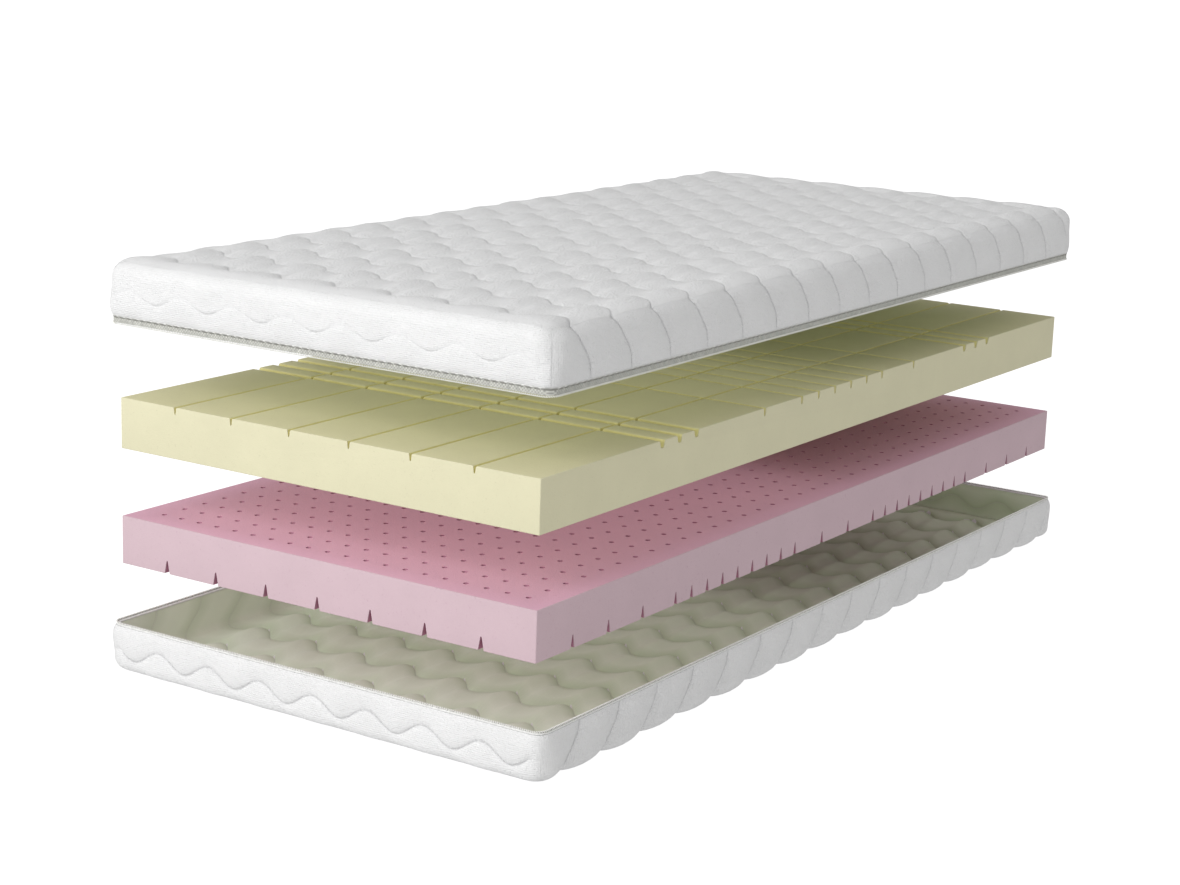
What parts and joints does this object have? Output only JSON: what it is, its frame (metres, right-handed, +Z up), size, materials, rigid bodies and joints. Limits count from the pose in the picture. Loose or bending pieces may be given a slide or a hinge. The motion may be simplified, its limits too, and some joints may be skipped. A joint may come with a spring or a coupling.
{
  "type": "memory foam mattress",
  "caption": "Single bed foam mattress shown opened out: a quilted zip cover in two halves, a perforated core layer and a grooved comfort layer.",
  "frame": {"origin": "centre of the flat underside of the lower cover half, on the surface the mattress lies on", "axes": "+X along the length towards the head end, +Y along the width towards the side with the zip slider, +Z up"},
  "size_m": [2.022, 0.9524, 0.748],
  "materials": {
    "cover_knit": "matt white quilted knit",
    "wadding": "white fibre fleece",
    "lining": "thin off-white backing cloth with a green tint",
    "binding": "white woven binding",
    "zip_tape": "pale woven tape",
    "zip_coil": "white nylon coil",
    "zip_metal": "light grey enamelled zip metal",
    "core_foam": "pink open-cell foam",
    "comfort_foam": "pale yellow open-cell foam"
  },
  "bodies": {
    "bottom_cover": {"bottom_fabric": "cover_knit", "bottom_wadding": "wadding", "bottom_lining": "lining", "rim_binding": "binding", "zip_tape_lower": "zip_tape", "zip_coil_lower": "zip_coil", "zip_retainer_box": "zip_metal"},
    "core_layer": {"core_foam": "core_foam"},
    "comfort_layer": {"comfort_foam": "comfort_foam"},
    "top_cover": {"top_fabric": "cover_knit", "top_wadding": "wadding", "top_lining": "lining", "hem_binding": "binding", "zip_tape_upper": "zip_tape", "zip_coil_upper": "zip_coil", "zip_pin": "zip_metal", "zip_stop": "zip_metal"},
    "slider": {"zip_slider": "zip_metal", "slider_bail": "zip_metal"},
    "tab": {"pull_tab": "zip_metal"}
  },
  "joints": [
    {"name": "core_lift", "type": "slide", "parent": "bottom_cover", "child": "core_layer", "axis": [0, 0, 1], "range_m": [-0.1905, 0]},
    {"name": "comfort_lift", "type": "slide", "parent": "core_layer", "child": "comfort_layer", "axis": [0, 0, 1], "range_m": [-0.12, 0]},
    {"name": "cover_lift", "type": "slide", "parent": "comfort_layer", "child": "top_cover", "axis": [0, 0, 1], "range_m": [-0.2285, 0]},
    {"name": "slider_travel", "type": "slide", "parent": "top_cover", "child": "slider", "axis": [1, 0, 0], "range_m": [-1.86, 0]},
    {"name": "tab_swing", "type": "hinge", "parent": "slider", "child": "tab", "pos_m": [0.93, 0.4764, 0.635], "axis": [1, 0, 0], "range_deg": [0, 160]}
  ]
}
